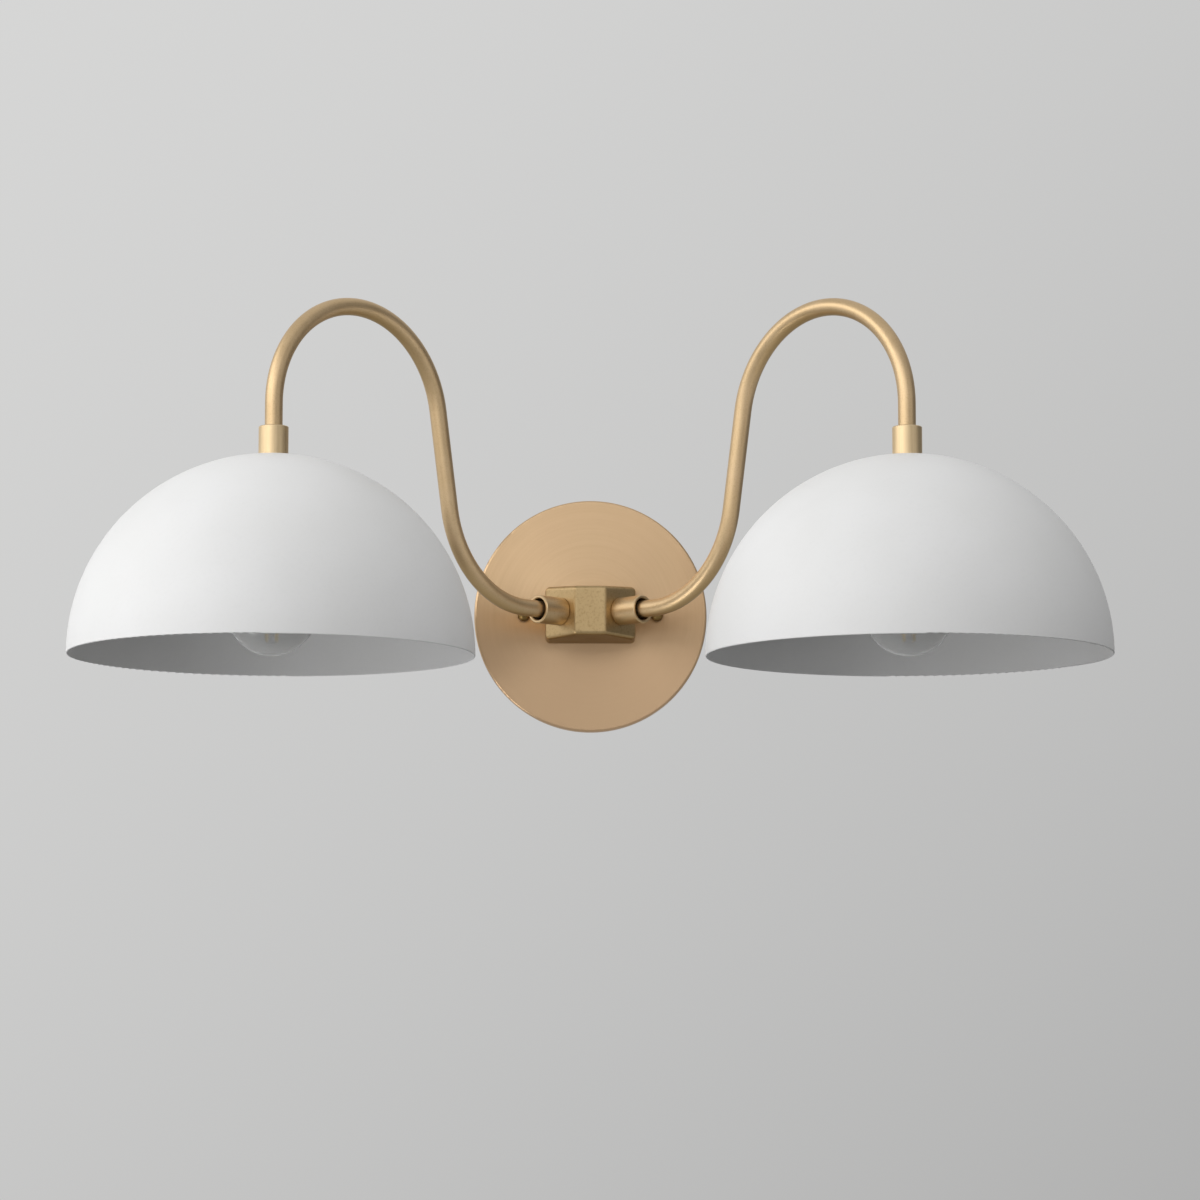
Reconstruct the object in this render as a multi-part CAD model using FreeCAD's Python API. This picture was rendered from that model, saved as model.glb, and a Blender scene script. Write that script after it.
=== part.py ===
import FreeCAD, Part
import math
import os
from FreeCAD import Vector

# Double arm wall sconce: a round brass canopy on a steel wall bracket, a cast hub with two
# arms at right angles to each other, and on each arm a domed shade over a globe lamp.
#
# Millimetres. The wall is the plane y = 0 and the sconce stands out towards -Y.
# +Z is up. The origin is the centre of the canopy's rear face.
# Pieces that come in pairs are made for the right side, where x is positive, and mirrored.

# ---------------------------------------------------------------- driving dimensions

# canopy: a shallow spun pan
CANOPY_R = 66.675
CANOPY_DEPTH = 7.0
CANOPY_WALL = 1.5
CANOPY_EDGE_R = 1.2

# lamp pipe, which the arms and the nipples are all made of
PIPE_R = 4.75
PIPE_BORE_R = 3.5

# clearances
THREAD_GAP = 0.05
HOLE_GAP = 0.3
RUN_GAP = 0.3
SEAT_GAP = 0.1

# wall bracket: a cross of steel strip
STRIP_T = 1.5
STRIP_W = 19.0
BRACKET_HALF_X = 50.0
BRACKET_HALF_Z = 56.0
BRACKET_CORNER_R = 3.0
BRACKET_HOLE_R = 11.0
BOX_SCREW_SPACING = 88.9
BOX_SLOT_R = 2.4
BOX_SLOT_LENGTH = 12.0
STUD_SPACING = 76.2
STUD_R = 2.0
BALL_R = 3.6
BALL_WALL = 1.5
BALL_SEAT_R = 2.8
STUD_REAR_Y = -0.2

# ground screw on the bracket
GROUND_SCREW_X = -24.0
GROUND_SHANK_R = 1.9
GROUND_HEAD_R = 3.6
GROUND_HEAD_T = 1.8
GROUND_SLOT_W = 0.9
GROUND_SLOT_DEPTH = 0.8

# nut and washer that hold the hub to the canopy, and the same pair inside each shade
NUT_AF = 14.3
NUT_T = 2.4
WASHER_R = 8.5
WASHER_T = 0.8
NIPPLE_PROUD = 0.4
HUB_THREAD = 6.0

# hub: a cast block, deeper than the chamfers that the arms leave from
HUB_HALF_W = 25.7
HUB_SIDE_DEPTH = 12.0
HUB_FACE_HALF_W = 8.7
HUB_BACK_HALF_H = 16.0
HUB_FRONT_HALF_H = 13.9
HUB_CORNER_R = 2.8
HUB_EDGE_R = 2.3
HUB_WIREWAY_DEPTH = 17.0
ARM_THREAD = 10.0
ARM_WIREWAY_R = 3.3

# sleeves round the roots of the arms
SLEEVE_R = 7.95
SLEEVE_BORE_R = 6.2
SLEEVE_LENGTH = 18.0
SLEEVE_EDGE = 0.5

# arms: bent in a vertical plane at 45 degrees to the wall
ARM_ANGLE = 45.0
ARM_ROOT = 27.0
BEND_R = 60.0
ARM_LEAN = 9.6
ARM_RISE = 55.0
ARM_DROP = 12.8
COLLAR_THREAD = 8.0

# collar on the end of each arm
COLLAR_R = 7.95
COLLAR_H = 15.9
COLLAR_EDGE = 0.4
NIPPLE_IN_COLLAR = 5.5

# shade: a spun dome, open below
SHADE_R = 107.95
SHADE_H = 107.0
SHADE_WALL = 1.0
SHADE_LAND_R = 10.0

# lamp socket
SOCKET_R = 18.5
SOCKET_H = 45.0
SOCKET_TOP_T = 15.0
SOCKET_EDGE_R = 2.0
HICKEY_R = 14.0
HICKEY_T = 1.5
HICKEY_BOSS_R = 7.5
HICKEY_BOSS_H = 3.5
SOCKET_SCREW_X = 10.5
SOCKET_SCREW_R = 1.5
SOCKET_SCREW_HEAD_R = 2.8
SOCKET_SCREW_HEAD_T = 1.4
SOCKET_SCREW_LENGTH = 9.0
SHELL_T = 0.4
SHELL_BACKING = 0.3
SHELL_MARGIN = 3.0
CONTACT_T = 0.5
CONTACT_W = 6.0
CONTACT_LENGTH = 20.0

# lamp: clear globe on a screw base
GLOBE_R = 24.5
GLASS_T = 0.7
LAMP_BASE_R = 12.9
LAMP_BASE_T = 0.5
LAMP_SKIRT_H = 3.0
LAMP_THREADS = 5
LAMP_PITCH = 3.6
LAMP_THREAD_DEPTH = 0.7
ROOT_START = 0.25  # these four are shares of the pitch, up one turn of the lamp's thread
ROOT_END = 0.4
CREST_START = 0.7
CREST_END = 0.95
LAMP_SHOULDER_H = 3.0
LAMP_CONE_TOP_R = 8.0
LAMP_INSULATOR_H = 3.0
LAMP_TIP_R = 4.6
LAMP_TIP_H = 1.6
LAMP_NECK_H = 7.0
NECK_ANGLE = 50.0
LAMP_HANG = 0.5
STEM_R = 2.2
STEM_FLARE_H = 5.0
STEM_END_R = 1.4
FILAMENT_R = 0.6
FILAMENT_LENGTH = 28.0
FILAMENT_COUNT = 4
FILAMENT_TOP_R = 6.0
FILAMENT_END_R = 3.6
FILAMENT_LOW = 16.5
WIRE_R = 0.3

# ---------------------------------------------------------------- sizes that follow

X = Vector(1, 0, 0)
Z = Vector(0, 0, 1)
OUT = Vector(0, -1, 0)
ORIGIN = Vector(0, 0, 0)

CANOPY_FRONT_Y = -CANOPY_DEPTH
CANOPY_INNER_Y = CANOPY_WALL - CANOPY_DEPTH
HUB_WASHER_Y = CANOPY_INNER_Y + WASHER_T
HUB_NUT_Y = HUB_WASHER_Y + NUT_T
HUB_FACE_DEPTH = HUB_SIDE_DEPTH + (HUB_HALF_W - HUB_FACE_HALF_W)
HUB_FRONT_Y = CANOPY_FRONT_Y - HUB_FACE_DEPTH
SIDE_FACE_X = (HUB_HALF_W + HUB_FACE_HALF_W) / 2
SIDE_FACE_Y = CANOPY_FRONT_Y - (HUB_SIDE_DEPTH + HUB_FACE_DEPTH) / 2

PLAN = math.radians(ARM_ANGLE)
ARM_DIR = Vector(math.cos(PLAN), -math.sin(PLAN), 0)
ARM_FACE = Vector(SIDE_FACE_X, SIDE_FACE_Y, 0)

TURN = math.radians(90 - ARM_LEAN)
RISE_START_U = ARM_ROOT + BEND_R * math.sin(TURN)
RISE_START_Z = BEND_R * (1 - math.cos(TURN))
RISE_END_U = RISE_START_U + ARM_RISE * math.cos(TURN)
RISE_END_Z = RISE_START_Z + ARM_RISE * math.sin(TURN)
ARCH_U = RISE_END_U + BEND_R * math.sin(TURN)
ARCH_Z = RISE_END_Z - BEND_R * math.cos(TURN)
SHADE_U = ARCH_U + BEND_R
COLLAR_TOP_Z = ARCH_Z - ARM_DROP

SHADE_X = ARM_FACE.x + SHADE_U * ARM_DIR.x
SHADE_Y = ARM_FACE.y + SHADE_U * ARM_DIR.y
SHADE_TOP_Z = COLLAR_TOP_Z - COLLAR_H
LAND_SINK = SHADE_H * (1 - math.sqrt(1 - (SHADE_LAND_R / SHADE_R) ** 2))
RIM_Z = SHADE_TOP_Z + LAND_SINK - SHADE_H
SHADE_INNER_Z = SHADE_TOP_Z - SHADE_WALL

SHADE_WASHER_Z = SHADE_INNER_Z - WASHER_T
SHADE_NUT_Z = SHADE_WASHER_Z - NUT_T
HICKEY_TOP_Z = SHADE_NUT_Z - SEAT_GAP
SOCKET_TOP_Z = HICKEY_TOP_Z - HICKEY_BOSS_H
SOCKET_LOW_Z = SOCKET_TOP_Z - SOCKET_H
SOCKET_ROOF_Z = SOCKET_TOP_Z - SOCKET_TOP_T
SHELL_BORE_R = LAMP_BASE_R + RUN_GAP
SOCKET_BORE_R = SHELL_BORE_R + SHELL_T + SHELL_BACKING

GLOBE_Z = RIM_Z - LAMP_HANG + GLOBE_R
LAMP_TIP_Z = SOCKET_ROOF_Z - CONTACT_T - RUN_GAP
INSULATOR_TOP_Z = LAMP_TIP_Z - LAMP_TIP_H
SHOULDER_TOP_Z = INSULATOR_TOP_Z - LAMP_INSULATOR_H
THREAD_TOP_Z = SHOULDER_TOP_Z - LAMP_SHOULDER_H
THREAD_LOW_Z = THREAD_TOP_Z - LAMP_THREADS * LAMP_PITCH
BASE_LOW_Z = THREAD_LOW_Z - LAMP_SKIRT_H
THREAD_ROOT_R = LAMP_BASE_R - LAMP_THREAD_DEPTH
NECK_R = THREAD_ROOT_R - LAMP_BASE_T - THREAD_GAP
NECK_TOP_Z = BASE_LOW_Z + LAMP_NECK_H
FILAMENT_LOW_Z = GLOBE_Z - FILAMENT_LOW
FILAMENT_HIGH_Z = FILAMENT_LOW_Z + FILAMENT_LENGTH
STAR_Z = FILAMENT_LOW_Z - FILAMENT_R - THREAD_GAP - WIRE_R

# ---------------------------------------------------------------- building helpers


def mirrored(shape):
    """The left-hand copy of a right-hand shape."""
    return shape.mirror(ORIGIN, X)


def on_shade_axis(shape):
    """Moves a shape made round the Z axis to the axis of the right-hand shade."""
    return shape.translated(Vector(SHADE_X, SHADE_Y, 0))


def rod(r, start, direction, length):
    return Part.makeCylinder(r, length, start, direction)


def ring(r, bore_r, start, direction, length):
    """A plain tube."""
    return rod(r, start, direction, length).cut(rod(bore_r, start, direction, length))


def bevelled_ring(r, bore_r, start, direction, length, edge):
    """A tube whose outer and inner edges are broken at both ends."""
    points = [
        (bore_r + edge, 0),
        (r - edge, 0),
        (r, edge),
        (r, length - edge),
        (r - edge, length),
        (bore_r + edge, length),
        (bore_r, length - edge),
        (bore_r, edge),
    ]
    shape = turned(points)
    shape.Placement = FreeCAD.Placement(start, FreeCAD.Rotation(Z, direction))
    return shape


def turned(points):
    """Revolves a closed outline of (radius, height) points about the Z axis."""
    corners = [Vector(r, 0, z) for r, z in points]
    face = Part.Face(Part.makePolygon(corners + corners[:1]))
    return face.revolve(ORIGIN, Z, 360)


def turned_edges(edges):
    """Revolves a closed outline of edges in the XZ plane about the Z axis."""
    face = Part.Face(Part.Wire(Part.__sortEdges__(edges)))
    return face.revolve(ORIGIN, Z, 360)


def line(a, b):
    return Part.LineSegment(a, b).toShape()


def arc(a, middle, b):
    return Part.Arc(a, middle, b).toShape()


def hexagon(across_flats, start, direction, length):
    """A hexagonal prism."""
    corner_r = across_flats / math.sqrt(3)
    corners = [Vector(corner_r * math.cos(k * math.pi / 3), corner_r * math.sin(k * math.pi / 3), 0)
               for k in range(7)]
    shape = Part.Face(Part.makePolygon(corners)).extrude(Z * length)
    shape.Placement = FreeCAD.Placement(start, FreeCAD.Rotation(Z, direction))
    return shape


def write(name, shape):
    """Writes one sub-part."""
    shape.exportStep("parts/" + name + ".step")


def write_pair(name, shape):
    """Writes the right-hand shape and its left-hand copy."""
    write("right_" + name, shape)
    write("left_" + name, mirrored(shape))


# ---------------------------------------------------------------- wall side


def canopy():
    """A pan turned about the Y axis, with holes for the nipple and the studs."""
    low = CANOPY_EDGE_R
    s = CANOPY_EDGE_R * (1 - math.sqrt(0.5))
    front = CANOPY_DEPTH
    inner_r = CANOPY_R - CANOPY_WALL
    inner_h = CANOPY_DEPTH - CANOPY_WALL
    edges = [
        line(Vector(0, 0, front), Vector(CANOPY_R - low, 0, front)),
        arc(Vector(CANOPY_R - low, 0, front), Vector(CANOPY_R - s, 0, front - s),
            Vector(CANOPY_R, 0, front - low)),
        line(Vector(CANOPY_R, 0, front - low), Vector(CANOPY_R, 0, 0)),
        line(Vector(CANOPY_R, 0, 0), Vector(inner_r, 0, 0)),
        line(Vector(inner_r, 0, 0), Vector(inner_r, 0, inner_h)),
        line(Vector(inner_r, 0, inner_h), Vector(0, 0, inner_h)),
        line(Vector(0, 0, inner_h), Vector(0, 0, front)),
    ]
    pan = turned_edges(edges)
    pan.Placement = FreeCAD.Placement(ORIGIN, FreeCAD.Rotation(Z, OUT))
    pan = pan.cut(rod(PIPE_R + HOLE_GAP, ORIGIN, OUT, CANOPY_DEPTH))
    for side in (-1, 1):
        start = Vector(side * STUD_SPACING / 2, 0, 0)
        pan = pan.cut(rod(STUD_R + HOLE_GAP, start, OUT, CANOPY_DEPTH))
    return pan


def strip(half_x, half_z):
    """A flat strip on the wall with rounded corners."""
    box = Part.makeBox(2 * half_x, STRIP_T, 2 * half_z, Vector(-half_x, -STRIP_T, -half_z))
    corners = [e for e in box.Edges if e.BoundBox.YLength > STRIP_T / 2]
    return box.makeFillet(BRACKET_CORNER_R, corners)


def slot(z):
    """A cutter for a slot that runs along Z, centred on height z."""
    half = BOX_SLOT_LENGTH / 2 - BOX_SLOT_R
    cutter = Part.makeBox(2 * BOX_SLOT_R, STRIP_T, 2 * half, Vector(-BOX_SLOT_R, -STRIP_T, z - half))
    for end in (-half, half):
        cutter = cutter.fuse(rod(BOX_SLOT_R, Vector(0, 0, z + end), OUT, STRIP_T))
    return cutter


def bracket():
    """A cross of strip: studs on the level arms, slots for the box screws on the upright ones."""
    cross = strip(BRACKET_HALF_X, STRIP_W / 2).fuse(strip(STRIP_W / 2, BRACKET_HALF_Z)).removeSplitter()
    cross = cross.cut(rod(BRACKET_HOLE_R, ORIGIN, OUT, STRIP_T))
    for side in (-1, 1):
        cross = cross.cut(slot(side * BOX_SCREW_SPACING / 2))
        start = Vector(side * STUD_SPACING / 2, 0, 0)
        cross = cross.cut(rod(STUD_R + THREAD_GAP, start, OUT, STRIP_T))
    return cross.cut(rod(GROUND_SHANK_R + THREAD_GAP, Vector(GROUND_SCREW_X, 0, 0), OUT, STRIP_T))


BALL_CENTRE_Y = CANOPY_FRONT_Y - SEAT_GAP - math.sqrt(BALL_R ** 2 - BALL_SEAT_R ** 2)
STUD_END_Y = BALL_CENTRE_Y - BALL_R + BALL_WALL + RUN_GAP


def stud():
    """A threaded stud from the bracket into the ball nut."""
    start = Vector(STUD_SPACING / 2, STUD_REAR_Y, 0)
    return rod(STUD_R, start, OUT, STUD_REAR_Y - STUD_END_Y)


def ball_nut():
    """A ball with a flat seat and a blind bore."""
    centre = Vector(STUD_SPACING / 2, BALL_CENTRE_Y, 0)
    ball = Part.makeSphere(BALL_R, centre)
    seat_y = CANOPY_FRONT_Y - SEAT_GAP
    behind = rod(BALL_R, Vector(centre.x, seat_y + BALL_R, 0), OUT, BALL_R)
    bore_length = seat_y - (BALL_CENTRE_Y - BALL_R + BALL_WALL)
    bore = rod(STUD_R + THREAD_GAP, Vector(centre.x, seat_y, 0), OUT, bore_length)
    return ball.cut(behind).cut(bore)


def ground_screw():
    """A slotted screw in the bracket's level arm."""
    start = Vector(GROUND_SCREW_X, STUD_REAR_Y, 0)
    shank = rod(GROUND_SHANK_R, start, OUT, STRIP_T + STUD_REAR_Y)
    head_start = Vector(GROUND_SCREW_X, -STRIP_T, 0)
    head = rod(GROUND_HEAD_R, head_start, OUT, GROUND_HEAD_T)
    groove = Part.makeBox(2 * GROUND_HEAD_R, GROUND_SLOT_DEPTH, GROUND_SLOT_W,
                          Vector(GROUND_SCREW_X - GROUND_HEAD_R, -STRIP_T - GROUND_HEAD_T,
                                 -GROUND_SLOT_W / 2))
    return shank.fuse(head).cut(groove).removeSplitter()


# ---------------------------------------------------------------- hub


def hub_washer():
    return ring(WASHER_R, PIPE_R + HOLE_GAP, Vector(0, HUB_WASHER_Y, 0), OUT, WASHER_T)


def hub_nut():
    start = Vector(0, HUB_NUT_Y, 0)
    return hexagon(NUT_AF, start, OUT, NUT_T).cut(rod(PIPE_R + THREAD_GAP, start, OUT, NUT_T))


def hub_nipple():
    rear = HUB_NUT_Y + NIPPLE_PROUD
    return ring(PIPE_R, PIPE_BORE_R, Vector(0, rear, 0), OUT, rear - CANOPY_FRONT_Y + HUB_THREAD)


def hub():
    """The cast block: a plan outline met by a drafted side outline, then rounded and bored."""
    back = CANOPY_FRONT_Y
    side = back - HUB_SIDE_DEPTH
    front = HUB_FRONT_Y
    plan = [
        Vector(-HUB_HALF_W, back, -HUB_BACK_HALF_H),
        Vector(HUB_HALF_W, back, -HUB_BACK_HALF_H),
        Vector(HUB_HALF_W, side, -HUB_BACK_HALF_H),
        Vector(HUB_FACE_HALF_W, front, -HUB_BACK_HALF_H),
        Vector(-HUB_FACE_HALF_W, front, -HUB_BACK_HALF_H),
        Vector(-HUB_HALF_W, side, -HUB_BACK_HALF_H),
    ]
    drafted = [
        Vector(-HUB_HALF_W, back, -HUB_BACK_HALF_H),
        Vector(-HUB_HALF_W, back, HUB_BACK_HALF_H),
        Vector(-HUB_HALF_W, front, HUB_FRONT_HALF_H),
        Vector(-HUB_HALF_W, front, -HUB_FRONT_HALF_H),
    ]
    block = Part.Face(Part.makePolygon(plan + plan[:1])).extrude(Z * 2 * HUB_BACK_HALF_H)
    wedge = Part.Face(Part.makePolygon(drafted + drafted[:1])).extrude(X * 2 * HUB_HALF_W)
    block = block.common(wedge)
    block = block.makeFillet(HUB_CORNER_R, [e for e in block.Edges if is_outer_corner(e)])
    block = block.makeFillet(HUB_EDGE_R, [e for e in block.Edges if is_off_canopy(e)])
    block = block.cut(rod(PIPE_R + THREAD_GAP, Vector(0, back, 0), OUT, HUB_WIREWAY_DEPTH))
    for port in (arm_port(), mirrored(arm_port())):
        block = block.cut(port)
    return block


def is_outer_corner(edge):
    """True for the four edges that run out from the canopy along the hub's side walls."""
    box = edge.BoundBox
    return box.XLength < HUB_SIDE_DEPTH / 2 and box.YLength > HUB_SIDE_DEPTH / 2


def is_off_canopy(edge):
    """True for every edge of the hub that lies clear of the canopy."""
    return edge.BoundBox.YMax < CANOPY_FRONT_Y - HUB_SIDE_DEPTH / 2


def arm_port():
    """A cutter for the arm's threaded hole and the wireway behind it."""
    thread = rod(PIPE_R + THREAD_GAP, ARM_FACE, -ARM_DIR, ARM_THREAD)
    wireway_length = ARM_FACE.x / ARM_DIR.x
    return thread.fuse(rod(ARM_WIREWAY_R, ARM_FACE, -ARM_DIR, wireway_length))


def sleeve():
    return bevelled_ring(SLEEVE_R, SLEEVE_BORE_R, ARM_FACE, ARM_DIR, SLEEVE_LENGTH, SLEEVE_EDGE)


# ---------------------------------------------------------------- arm


def arm_point(u, z):
    """A point of the arm's plane, u along the level and z up."""
    return ARM_FACE + ARM_DIR * u + Z * z


def arm_path():
    """The arm's centre line, from inside the hub to inside the collar."""
    half = TURN / 2
    low = arm_point(ARM_ROOT + BEND_R * math.sin(half), BEND_R * (1 - math.cos(half)))
    top = arm_point(ARCH_U, ARCH_Z + BEND_R)
    bend_start = arm_point(ARM_ROOT, 0)
    rise_start = arm_point(RISE_START_U, RISE_START_Z)
    rise_end = arm_point(RISE_END_U, RISE_END_Z)
    drop_start = arm_point(SHADE_U, ARCH_Z)
    return Part.Wire([
        line(arm_point(SEAT_GAP - ARM_THREAD, 0), bend_start),
        arc(bend_start, low, rise_start),
        line(rise_start, rise_end),
        arc(rise_end, top, drop_start),
        line(drop_start, arm_point(SHADE_U, COLLAR_TOP_Z - COLLAR_THREAD)),
    ])


def arm():
    """A bent tube."""
    path = arm_path()
    start = arm_point(SEAT_GAP - ARM_THREAD, 0)
    solids = []
    for r in (PIPE_R, PIPE_BORE_R):
        profile = Part.Wire(Part.makeCircle(r, start, ARM_DIR))
        solids.append(path.makePipeShell([profile], True, False))
    return solids[0].cut(solids[1])


def collar():
    """A coupling with a threaded hole through it and broken outer edges."""
    hole_r = PIPE_R + THREAD_GAP
    points = [
        (hole_r, SHADE_TOP_Z),
        (COLLAR_R, SHADE_TOP_Z),
        (COLLAR_R, COLLAR_TOP_Z - COLLAR_EDGE),
        (COLLAR_R - COLLAR_EDGE, COLLAR_TOP_Z),
        (hole_r, COLLAR_TOP_Z),
    ]
    return on_shade_axis(turned(points))


# ---------------------------------------------------------------- shade


def dome_height(r, half_width, height):
    """Height above the rim of an elliptical dome at radius r."""
    return height * math.sqrt(1 - (r / half_width) ** 2)


def dome_arc(half_width, height, top_r):
    """A quarter ellipse in the XZ plane, from the rim up to radius top_r."""
    curve = Part.BezierCurve()
    curve.setPoles([Vector(half_width, 0, RIM_Z), Vector(half_width, 0, RIM_Z + height),
                    Vector(0, 0, RIM_Z + height)])
    curve.setWeight(2, math.sqrt(0.5))
    top = Vector(top_r, 0, RIM_Z + dome_height(top_r, half_width, height))
    curve.segment(0, curve.parameter(top))
    return curve.toShape(), curve.EndPoint


def shade():
    """A dome of even wall with a rounded rim and a flat land at the top for the collar."""
    hole_r = PIPE_R + HOLE_GAP
    inner_r = SHADE_R - SHADE_WALL
    inner_h = SHADE_H - SHADE_WALL
    inner_land_r = inner_r * math.sqrt(1 - ((SHADE_INNER_Z - RIM_Z) / inner_h) ** 2)
    outer, outer_end = dome_arc(SHADE_R, SHADE_H, SHADE_LAND_R)
    inner, inner_end = dome_arc(inner_r, inner_h, inner_land_r)
    hole_top = Vector(hole_r, 0, outer_end.z)
    hole_low = Vector(hole_r, 0, inner_end.z)
    rim_low = Vector(SHADE_R - SHADE_WALL / 2, 0, RIM_Z - SHADE_WALL / 2)
    edges = [
        outer,
        line(outer_end, hole_top),
        line(hole_top, hole_low),
        line(hole_low, inner_end),
        inner,
        arc(Vector(inner_r, 0, RIM_Z), rim_low, Vector(SHADE_R, 0, RIM_Z)),
    ]
    return on_shade_axis(turned_edges(edges))


def shade_nipple():
    top = SHADE_TOP_Z + NIPPLE_IN_COLLAR
    low = SOCKET_TOP_Z + SEAT_GAP
    return on_shade_axis(ring(PIPE_R, PIPE_BORE_R, Vector(0, 0, low), Z, top - low))


def shade_washer():
    return on_shade_axis(ring(WASHER_R, PIPE_R + HOLE_GAP, Vector(0, 0, SHADE_WASHER_Z), Z, WASHER_T))


def shade_nut():
    start = Vector(0, 0, SHADE_NUT_Z)
    nut = hexagon(NUT_AF, start, Z, NUT_T).cut(rod(PIPE_R + THREAD_GAP, start, Z, NUT_T))
    return on_shade_axis(nut)


# ---------------------------------------------------------------- socket


def hickey():
    """The threaded steel seat that carries the socket on the nipple."""
    hole_r = PIPE_R + THREAD_GAP
    points = [
        (hole_r, SOCKET_TOP_Z),
        (HICKEY_R, SOCKET_TOP_Z),
        (HICKEY_R, SOCKET_TOP_Z + HICKEY_T),
        (HICKEY_BOSS_R, SOCKET_TOP_Z + HICKEY_T),
        (HICKEY_BOSS_R, HICKEY_TOP_Z),
        (hole_r, HICKEY_TOP_Z),
    ]
    seat = turned(points)
    for side in (-1, 1):
        start = Vector(side * SOCKET_SCREW_X, 0, SOCKET_TOP_Z)
        seat = seat.cut(rod(SOCKET_SCREW_R + HOLE_GAP, start, Z, HICKEY_T))
    return on_shade_axis(seat)


def socket_screws():
    """Two screws from the hickey down into the porcelain."""
    screws = []
    for side in (-1, 1):
        top = Vector(side * SOCKET_SCREW_X, 0, SOCKET_TOP_Z + HICKEY_T)
        shank = rod(SOCKET_SCREW_R, top, -Z, SOCKET_SCREW_LENGTH)
        screws.append(shank.fuse(rod(SOCKET_SCREW_HEAD_R, top, Z, SOCKET_SCREW_HEAD_T)).removeSplitter())
    return on_shade_axis(Part.Compound(screws))


def socket_body():
    """The porcelain: a thick roof over a round well."""
    points = [
        (0, SOCKET_TOP_Z),
        (SOCKET_R - SOCKET_EDGE_R, SOCKET_TOP_Z),
        (SOCKET_R, SOCKET_TOP_Z - SOCKET_EDGE_R),
        (SOCKET_R, SOCKET_LOW_Z + SOCKET_EDGE_R),
        (SOCKET_R - SOCKET_EDGE_R, SOCKET_LOW_Z),
        (SOCKET_BORE_R, SOCKET_LOW_Z),
        (SOCKET_BORE_R, SOCKET_ROOF_Z),
        (0, SOCKET_ROOF_Z),
    ]
    body = turned(points)
    body = body.cut(rod(PIPE_BORE_R, Vector(0, 0, SOCKET_TOP_Z), -Z, SOCKET_TOP_T))
    for side in (-1, 1):
        start = Vector(side * SOCKET_SCREW_X, 0, SOCKET_TOP_Z)
        body = body.cut(rod(SOCKET_SCREW_R + THREAD_GAP, start, -Z, SOCKET_SCREW_LENGTH - HICKEY_T
                            + RUN_GAP))
    return on_shade_axis(body)


def socket_shell():
    """The thin screw shell inside the well, hung from the roof."""
    low = SOCKET_LOW_Z + SHELL_MARGIN
    r = SHELL_BORE_R + SHELL_T
    return on_shade_axis(ring(r, SHELL_BORE_R, Vector(0, 0, low), Z, SOCKET_ROOF_Z - low))


def socket_contact():
    """The centre contact: a strip on the roof of the well."""
    return on_shade_axis(Part.makeBox(CONTACT_LENGTH, CONTACT_W, CONTACT_T,
                                      Vector(-CONTACT_LENGTH / 2, -CONTACT_W / 2,
                                             SOCKET_ROOF_Z - CONTACT_T)))


# ---------------------------------------------------------------- lamp


def globe_skin(r, neck_r):
    """One skin of the globe, from its lowest point up to the top of the neck."""
    turn = math.radians(NECK_ANGLE)
    low = Vector(0, 0, GLOBE_Z - r)
    side = Vector(r, 0, GLOBE_Z)
    shoulder = Vector(r * math.cos(turn), 0, GLOBE_Z + r * math.sin(turn))
    tangent = Vector(-math.sin(turn), 0, math.cos(turn))
    corner = shoulder + tangent * ((shoulder.x - neck_r) / math.sin(turn))
    neck_low = Vector(neck_r, 0, BASE_LOW_Z - RUN_GAP)
    neck_top = Vector(neck_r, 0, NECK_TOP_Z)
    neck = Part.BezierCurve()
    neck.setPoles([shoulder, corner, neck_low])
    return [arc(low, side, shoulder), neck.toShape(), line(neck_low, neck_top)]


def globe():
    """The blown glass, open at the neck."""
    inner_r = NECK_R - GLASS_T
    edges = globe_skin(GLOBE_R, NECK_R) + globe_skin(GLOBE_R - GLASS_T, inner_r)
    edges.append(line(Vector(NECK_R, 0, NECK_TOP_Z), Vector(inner_r, 0, NECK_TOP_Z)))
    edges.append(line(Vector(0, 0, GLOBE_Z - GLOBE_R + GLASS_T), Vector(0, 0, GLOBE_Z - GLOBE_R)))
    return on_shade_axis(turned_edges(edges))


def lamp_base():
    """The screw base: a skirt, rolled threads and a shoulder, of even wall."""
    outer = [(LAMP_BASE_R, BASE_LOW_Z), (LAMP_BASE_R, THREAD_LOW_Z)]
    for k in range(LAMP_THREADS):
        z = THREAD_LOW_Z + k * LAMP_PITCH
        outer.append((THREAD_ROOT_R, z + LAMP_PITCH * ROOT_START))
        outer.append((THREAD_ROOT_R, z + LAMP_PITCH * ROOT_END))
        outer.append((LAMP_BASE_R, z + LAMP_PITCH * CREST_START))
        outer.append((LAMP_BASE_R, z + LAMP_PITCH * CREST_END))
    outer.append((THREAD_ROOT_R, THREAD_TOP_Z + LAMP_PITCH * (CREST_END + ROOT_START - 1)))
    outer.append((LAMP_CONE_TOP_R, SHOULDER_TOP_Z))
    inner_r = THREAD_ROOT_R - LAMP_BASE_T
    inner = [
        (LAMP_CONE_TOP_R - LAMP_BASE_T, SHOULDER_TOP_Z),
        (inner_r, THREAD_TOP_Z - LAMP_BASE_T),
        (inner_r, BASE_LOW_Z),
    ]
    return on_shade_axis(turned(outer + inner))


def lamp_insulator():
    """The dark glass between the base and the tip."""
    low_r = LAMP_CONE_TOP_R - LAMP_BASE_T - THREAD_GAP
    points = [
        (0, SHOULDER_TOP_Z - LAMP_BASE_T),
        (low_r, SHOULDER_TOP_Z - LAMP_BASE_T),
        (low_r, SHOULDER_TOP_Z),
        (LAMP_TIP_R, INSULATOR_TOP_Z),
        (0, INSULATOR_TOP_Z),
    ]
    return on_shade_axis(turned(points))


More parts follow.
